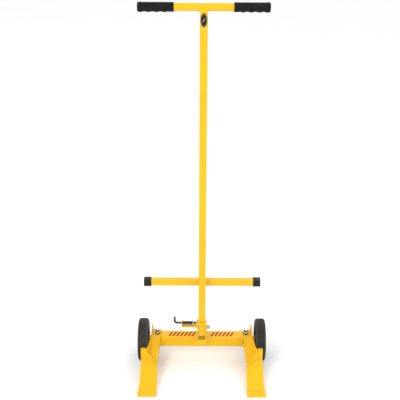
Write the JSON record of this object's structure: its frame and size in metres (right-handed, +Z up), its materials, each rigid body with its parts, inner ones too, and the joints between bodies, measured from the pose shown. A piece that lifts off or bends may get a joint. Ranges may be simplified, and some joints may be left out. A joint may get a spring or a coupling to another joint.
{
  "type": "wheeled toe jack",
  "caption": "Yellow wheeled lever jack: tall tee handle on a folding post with spring lock pin, foot bar, cross beam and two sloping open toe pans.",
  "frame": {"origin": "middle of the footprint on the floor", "axes": "+X to the right seen from the toes, +Y from the toes towards the operator, +Z up"},
  "size_m": [0.4804, 0.32, 1.3653],
  "materials": {
    "paint": "semi-gloss yellow powder coat",
    "zinc": "zinc plated",
    "dark_rod": "dark oiled steel",
    "grip": "matt ribbed black",
    "cap": "satin black",
    "tyre": "matt dark grey rubber",
    "hub": "satin black",
    "badge": "gloss black, plain"
  },
  "bodies": {
    "frame": {"cross_beam": "paint", "beam_end_plugs": "cap", "arm_left": "paint", "arm_right": "paint", "toe_left": "paint", "toe_right": "paint", "handle_bracket": "paint", "arm_bolts": "zinc", "arm_washers": "zinc", "arm_nuts": "zinc", "axle_bolts": "zinc", "axle_washers": "zinc", "axle_nuts": "zinc", "pivot_bolt": "zinc", "pivot_washer": "zinc", "pivot_nut": "zinc", "latch_housing": "paint", "latch_spring": "zinc"},
    "handle": {"handle_post": "paint", "post_end_plug": "cap", "pivot_sleeve": "zinc", "tee_bar": "paint", "grip_left": "grip", "grip_right": "grip", "foot_bar": "paint", "foot_cap_left": "cap", "foot_cap_right": "cap", "post_badge": "badge"},
    "lock_pin": {"latch_pin": "dark_rod", "latch_collar": "zinc", "latch_roll_pin": "zinc"},
    "wheel_left": {"tyre_left": "tyre", "hub_left": "hub", "hub_bush_left": "zinc"},
    "wheel_right": {"tyre_right": "tyre", "hub_right": "hub", "hub_bush_right": "zinc"}
  },
  "joints": [
    {"name": "handle_fold", "type": "hinge", "parent": "frame", "child": "handle", "pos_m": [0, 0.062, 0.149], "axis": [-1, 0, 0], "range_deg": [0, 94]},
    {"name": "lock_pull", "type": "slide", "parent": "frame", "child": "lock_pin", "axis": [-1, 0, 0], "range_m": [-0.007, 0.01], "deforming": ["latch_spring"]},
    {"name": "wheel_left_spin", "type": "hinge", "parent": "frame", "child": "wheel_left", "pos_m": [-0.221, 0.08, 0.08], "axis": [1, 0, 0], "continuous": true},
    {"name": "wheel_right_spin", "type": "hinge", "parent": "frame", "child": "wheel_right", "pos_m": [0.221, 0.08, 0.08], "axis": [1, 0, 0], "continuous": true}
  ]
}
